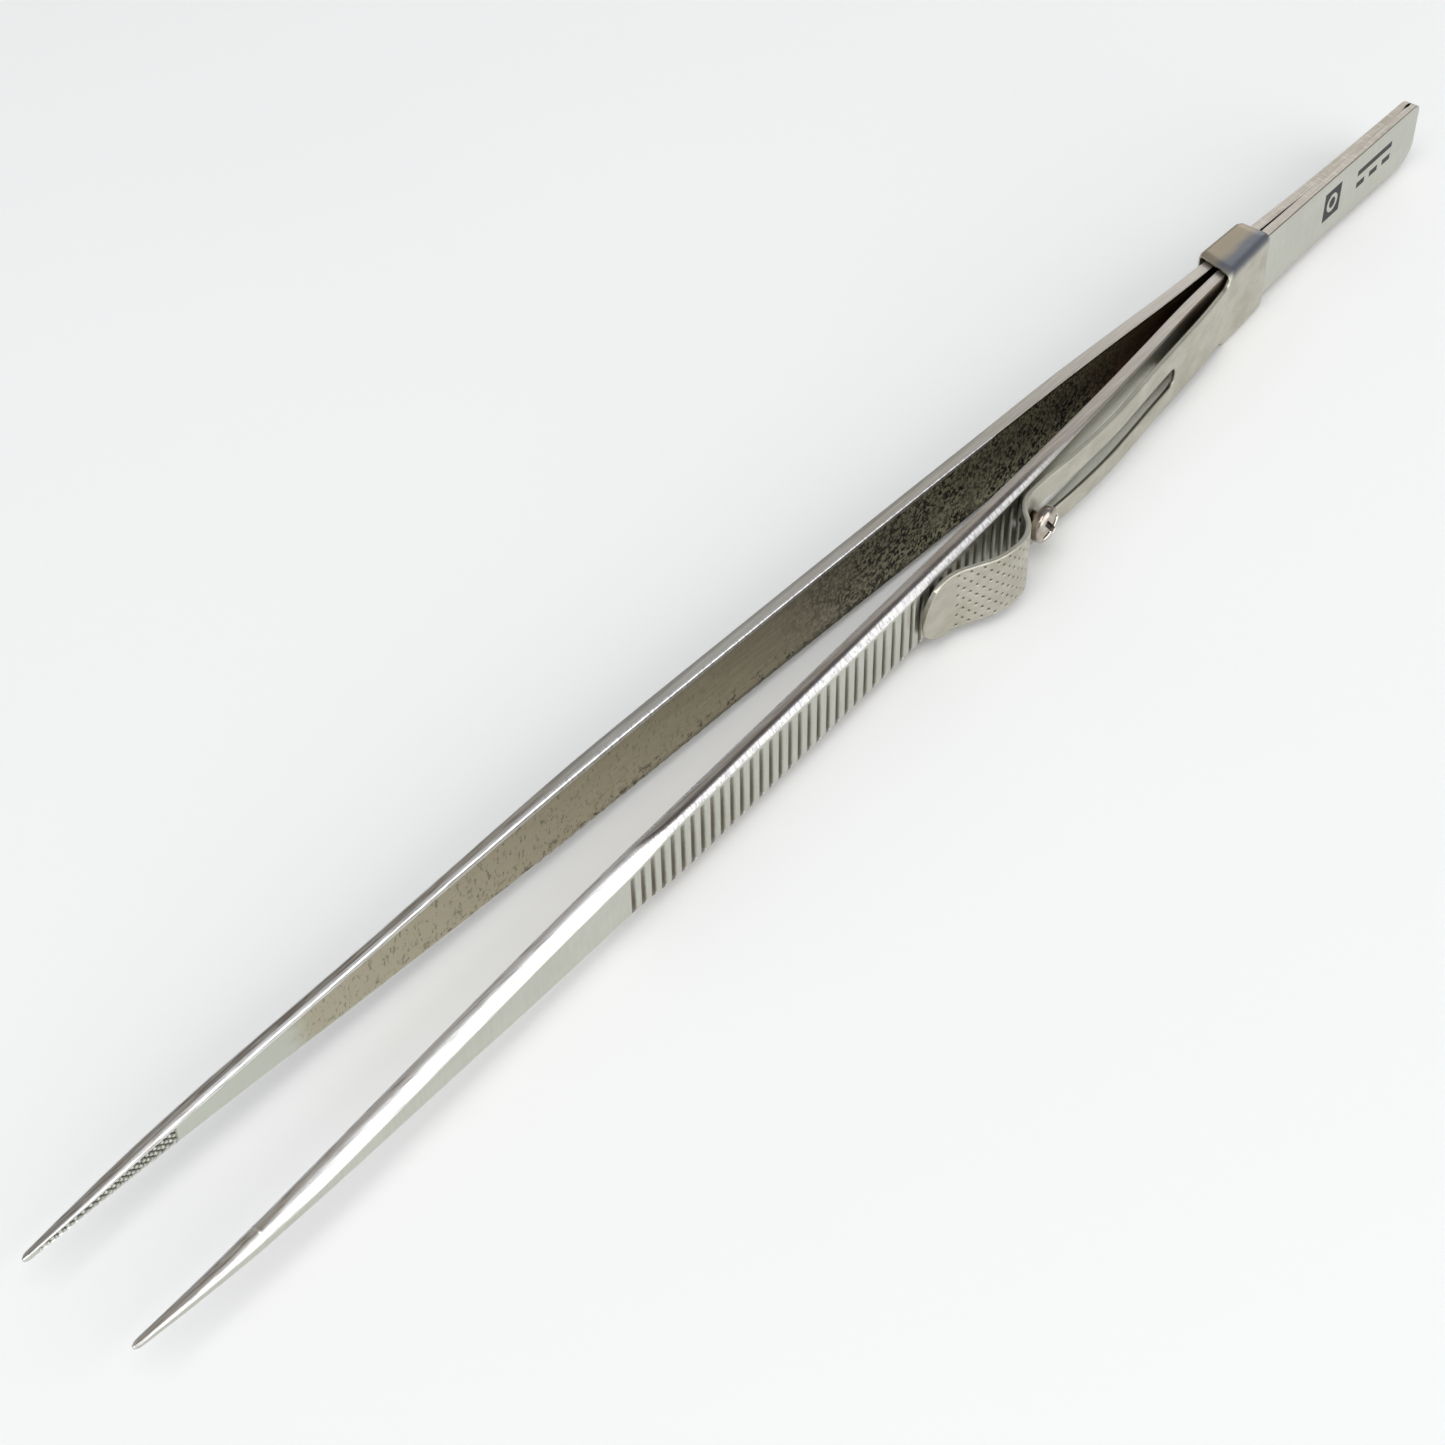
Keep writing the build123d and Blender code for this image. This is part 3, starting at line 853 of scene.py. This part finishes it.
def slide_blank():
    """The flat blank: cut to a T with its slot, given its thickness and its tumbled edges."""
    columns = blank_columns()
    rows = blank_rows()
    bm = bmesh.new()
    bmesh.ops.create_grid(bm, x_segments=len(rows) - 1, y_segments=len(columns) - 1, size=0.5)
    slot_half = SLOT_HALF / STRIP_HALF * STRIP_ROOT
    waste = []
    for face in bm.faces:
        middle = face.calc_center_median()
        row = int((middle.x + 0.5) * (len(rows) - 1))
        column = int((middle.y + 0.5) * (len(columns) - 1))
        (share, place_a), (next_share, place_b) = columns[column], columns[column + 1]
        beside_strip = row >= COLLAR_ROWS and (share is None or next_share is None)
        along_slot = SLOT_TURN - 1e-6 <= rows[row][0] < SLOT_LAST - 1e-6
        if beside_strip or (along_slot and abs(place_a + place_b) / 2 < slot_half):
            waste.append(face)
    bmesh.ops.delete(bm, geom=waste, context="FACES")
    for vert in bm.verts:
        x, bow, reach = rows[round((vert.co.x + 0.5) * (len(rows) - 1))]
        share, v = columns[round((vert.co.y + 0.5) * (len(columns) - 1))]
        if x > COLLAR_END + HAIR:
            corner = max(JOIN_END - x, 0)
            v = share * (STRIP_ROOT - math.sqrt(JOIN_ROUND ** 2 - corner ** 2))
        x += bow * math.sqrt(max(1 - (v / reach) ** 2, 0)) if bow else 0
        if abs(v) < STRIP_HALF:
            v += SLOT_MIDDLE * min((1 - abs(v) / STRIP_HALF) / (1 - SLOT_HALF / STRIP_HALF), 1)
        vert.co = (x, v, 0)
    tab_faces = [f for f in bm.faces if f.calc_center_median().x > DIMPLE_FIRST - 0.4]
    tab_edges = list(dict.fromkeys(e for f in tab_faces for e in f.edges))
    bmesh.ops.subdivide_edges(bm, edges=tab_edges, cuts=2, use_grid_fill=True)
    for face in bm.faces:
        if face.normal.z < 0:
            face.normal_flip()
    bmesh.ops.solidify(bm, geom=bm.faces[:], thickness=SHEET)
    top = max(vert.co.z for vert in bm.verts)
    bmesh.ops.translate(bm, verts=bm.verts[:], vec=(0, 0, -top))
    for vert in bm.verts:
        near = RIM_ROUND - min(rim_distance(vert.co.x, vert.co.y), RIM_ROUND)
        worn = RIM_ROUND - math.sqrt(RIM_ROUND ** 2 - near ** 2)
        vert.co.z += worn if vert.co.z < -SHEET / 2 else -worn
    return bm


def lock_slide_mesh():
    """The blank with its dimples pressed in, folded to shape."""
    bm = slide_blank()
    dots = bm.verts.layers.float.new("dots")
    slot_wall = bm.verts.layers.float.new("slot_wall")
    for vert in bm.verts:
        u, v, rise = vert.co
        vert[dots] = dimple(u, v) * ease(rise, -SHEET, -RIM_ROUND)
        by_slot = abs(v) < STRIP_HALF / 2 and SLOT_START - 0.1 < u < SLOT_END + 0.1
        in_wall = by_slot and rim_distance(u, v) < 0.02 and rise < -RIM_ROUND / 2
        vert[slot_wall] = 1.0 if in_wall else 0.0
        vert.co = place(*fold(u, v, rise - DIMPLE_DEPTH * vert[dots]))
    bmesh.ops.recalc_face_normals(bm, faces=bm.faces[:])
    return bm


def slide_steel():
    """Rolled sheet, its grain along the strip, brown where the collar was bent, with a painted dark
    blue-grey reflection at its front bend.
    """
    f = Finish("rolled_sheet_steel")
    at = f.leaf_place()
    along = f.axis(at, 0)
    upward = f.axis(at, 2)
    grain = f.noise(at, (0.5, 9.0, 9.0), detail=3.0, roughness=0.6)
    cloud = f.noise(at, (0.35, 0.6, 0.6), detail=3.0, roughness=0.55)
    fine = f.noise(at, (4.0, 4.0, 4.0), detail=3.0)
    colour = f.mix(cloud.rising(0.3, 0.7), tone(176, 173, 158), tone(194, 191, 178))
    colour = f.mix(grain.rising(0.4, 0.75) * 0.3, colour, tone(158, 154, 140))
    specks = f.noise(at, (3.2, 3.2, 3.2), detail=2.0).rising(0.74, 0.79)
    colour = f.mix(specks * 0.6, colour, tone(120, 100, 76))
    on_collar = along.rising(36.6, 35.4)
    bent = on_collar * upward.rising(3.1, 3.8)
    # the collar's top is brown; towards its front bend it turns to a painted dark blue-grey reflection
    frontward = (f.axis(at, 1) + (cloud - 0.5) * 1.2).rising(-0.4, 0.7)
    top_brown_and_dark_reflection = f.mix(frontward, tone(166, 154, 134), tone(112, 115, 126))
    colour = f.mix(bent * 0.9, colour, top_brown_and_dark_reflection)
    # painted shade in the pressed dimples of the thumb tab
    colour = f.mix(f.painted("dots").rising(0.15, 0.7) * 0.8, colour, tone(70, 66, 56))
    # painted dark reflection on the slot's cut wall
    colour = f.mix(f.painted("slot_wall") * 0.85, colour, tone(58, 54, 46))
    f.set(Base_Color=colour, Metallic=1.0, Roughness=grain * 0.12 + fine * 0.08 + 0.27)
    f.set(Normal=f.bump(grain + fine * 0.6, 0.35, 0.012))
    return f


lock_slide = finished_piece("lock_slide_sheet", lock_slide_mesh(), slide_steel(), smooth_angle=50)
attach(lock_slide, "lock_slide")
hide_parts("lock_slide")

# ---------------------------------------------------------------------------------------------
# The guide screw: a small turned and polished steel screw with a domed head and a cross recess.
# It goes through the slot and is screwed into the front arm, so the slide travels under its head.
# ---------------------------------------------------------------------------------------------
SCREW_AT = 69.25
SHANK_RADIUS = 0.75
SCREW_TIP = 2.13
HEAD_SEAT = 4.95
HEAD_RADIUS = 1.55
HEAD_RIM = 5.5
HEAD_TOP = 6.1
RECESS_HALF = 0.25
RECESS_REACH = 1.08
RECESS_DEPTH = 0.62
RECESS_CURVE = 0.22              # rise of its floor from the middle to the end of an arm
RECESS_TAPER = 0.86
RECESS_EDGE = 0.035
RECESS_TURN = 38.0
TIP_CHAMFER = 0.14
EDGE_BREAK, EDGE_BREAK_MIDDLE = 0.1, 0.03
SPIN_STEPS, DOME_STEPS = 64, 12


def guide_screw_mesh():
    """The half outline from tip to dome, spun about the screw's axis; then the recess is sunk."""
    corner, mid = EDGE_BREAK, EDGE_BREAK_MIDDLE
    outline = [(0, SCREW_TIP), (SHANK_RADIUS - TIP_CHAMFER, SCREW_TIP),
               (SHANK_RADIUS, SCREW_TIP + TIP_CHAMFER), (SHANK_RADIUS, HEAD_SEAT - corner),
               (SHANK_RADIUS + mid, HEAD_SEAT - mid), (SHANK_RADIUS + corner, HEAD_SEAT),
               (HEAD_RADIUS - corner, HEAD_SEAT), (HEAD_RADIUS - mid, HEAD_SEAT + mid),
               (HEAD_RADIUS, HEAD_SEAT + corner)]
    outline += [(HEAD_RADIUS * math.cos(math.pi / 2 * i / DOME_STEPS),
                 HEAD_RIM + (HEAD_TOP - HEAD_RIM) * math.sin(math.pi / 2 * i / DOME_STEPS))
                for i in range(DOME_STEPS + 1)]
    bm = bmesh.new()
    sunken = bm.verts.layers.float.new("sunken")
    chain = [bm.verts.new((radius, y, 0)) for radius, y in outline]
    links = [bm.edges.new(pair) for pair in zip(chain, chain[1:])]
    bmesh.ops.spin(bm, geom=chain + links, cent=(0, 0, 0), axis=(0, 1, 0), angle=math.tau,
                   steps=SPIN_STEPS, use_merge=True, use_duplicate=False)
    bmesh.ops.remove_doubles(bm, verts=bm.verts[:], dist=1e-4)
    bmesh.ops.recalc_face_normals(bm, faces=bm.faces[:])
    for axis in ((1, 0, 0), (0, 0, 1)):
        for reach in (-RECESS_REACH, -RECESS_HALF, RECESS_HALF, RECESS_REACH):
            dome = [f for f in bm.faces if f.calc_center_median().y > HEAD_RIM + 0.05]
            near = list(dict.fromkeys(item for f in dome for item in (*f.verts, *f.edges))) + dome
            bmesh.ops.bisect_plane(bm, geom=near, plane_co=Vector(axis) * reach, plane_no=axis,
                                   dist=1e-5)

    def in_recess(face):
        middle = face.calc_center_median()
        a, b = sorted((abs(middle.x), abs(middle.z)))
        return middle.y > HEAD_RIM and a < RECESS_HALF and b < RECESS_REACH

    opening = [f for f in bm.faces if in_recess(f)]
    sunk = bmesh.ops.extrude_face_region(bm, geom=opening)
    floor_verts = [item for item in sunk["geom"] if isinstance(item, bmesh.types.BMVert)]
    bmesh.ops.delete(bm, geom=opening, context="FACES")
    for vert in floor_verts:
        vert[sunken] = 1.0
        out = math.hypot(vert.co.x, vert.co.z) / RECESS_REACH
        vert.co.y = HEAD_TOP - RECESS_DEPTH + RECESS_CURVE * out ** 2
        vert.co.x *= RECESS_TAPER
        vert.co.z *= RECESS_TAPER
    bmesh.ops.recalc_face_normals(bm, faces=bm.faces[:])
    rims = [e for e in bm.edges if e.calc_face_angle(0) > math.radians(50)
            and min(v.co.y for v in e.verts) > HEAD_RIM + 0.1]
    bmesh.ops.bevel(bm, geom=rims, offset=RECESS_EDGE, affect="EDGES", segments=2, profile=0.5,
                    material=-1, clamp_overlap=True)
    bmesh.ops.rotate(bm, verts=bm.verts[:], cent=(0, 0, 0),
                     matrix=Matrix.Rotation(math.radians(RECESS_TURN), 3, "Y"))
    for vert in bm.verts:
        vert.co = place(SCREW_AT + vert.co.x, vert.co.y, vert.co.z)
    return bm


def screw_steel():
    """Turned and polished, with the lathe's fine rings; painted shade makes the lower head and shank
    brown and the cross recess near black.
    """
    f = Finish("polished_screw_steel")
    at = f.leaf_place()
    across = f.axis(at, 0) - SCREW_AT
    upward = f.axis(at, 2)
    out = f.add("ShaderNodeMath", {"operation": "SQRT"}, {0: across ** 2.0 + upward ** 2.0})
    rings = f.add("ShaderNodeMath", {"operation": "SINE"}, {0: out * 90.0})
    cloud = f.noise(at, (1.4, 1.4, 1.4), detail=3.0)
    fine = f.noise(at, (9.0, 9.0, 9.0), detail=3.0)
    colour = f.mix(cloud.rising(0.3, 0.7), tone(204, 200, 192), tone(172, 162, 150))
    # painted shade: the head turns brown towards its underside and down the shank
    painted_head_shade = f.axis(at, 1).rising(5.95, 5.3)
    colour = f.mix(painted_head_shade * 0.75, colour, tone(98, 82, 70))
    # painted shade: the cross recess is coloured near black
    colour = f.mix(f.painted("sunken").rising(0.05, 0.6) * 0.9, colour, tone(26, 23, 20))
    f.set(Base_Color=colour, Metallic=1.0, Roughness=fine * 0.06 + cloud * 0.05 + 0.1)
    f.set(Normal=f.bump(rings * 0.5 + fine, 0.12, 0.002))
    return f


guide_screw = finished_piece("guide_screw_turned", guide_screw_mesh(), screw_steel(), smooth_angle=35)
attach(guide_screw, "front_arm")
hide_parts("guide_screw")
